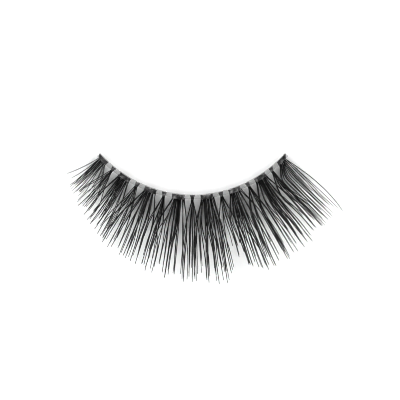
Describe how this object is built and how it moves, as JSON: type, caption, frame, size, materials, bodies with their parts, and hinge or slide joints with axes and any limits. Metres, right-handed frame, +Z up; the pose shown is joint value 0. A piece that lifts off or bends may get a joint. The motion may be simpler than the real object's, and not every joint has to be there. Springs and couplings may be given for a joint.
{
  "type": "false eyelash strip",
  "caption": "Curved clear band with wide and narrow tufts of black lashes by turns, short at the inner end and long at the outer end, curling up to their tips.",
  "frame": {"origin": "middle of the band's underside, on the surface that the strip lies on", "axes": "+Z up from the surface, the way the lashes curl; +Y from the band towards the hollow of its arc, where the eyelid's edge goes; -Y along the middle lashes, from root to tip; +X towards the outer corner of the eye, where the lashes are longer"},
  "size_m": [0.0406, 0.0192, 0.0048],
  "materials": {
    "band_clear": "clear and glossy",
    "lash_hair": "near-black synthetic hair, satin"
  },
  "bodies": {
    "root": {"band": "band_clear", "tuft_wide_1": "lash_hair", "tuft_narrow_1": "lash_hair", "tuft_wide_2": "lash_hair", "tuft_narrow_2": "lash_hair", "tuft_wide_3": "lash_hair", "tuft_narrow_3": "lash_hair", "tuft_wide_4": "lash_hair", "tuft_narrow_4": "lash_hair", "tuft_wide_5": "lash_hair", "tuft_narrow_5": "lash_hair", "tuft_wide_6": "lash_hair", "tuft_narrow_6": "lash_hair", "tuft_wide_7": "lash_hair", "tuft_narrow_7": "lash_hair", "tuft_wide_8": "lash_hair"}
  },
  "joints": []
}
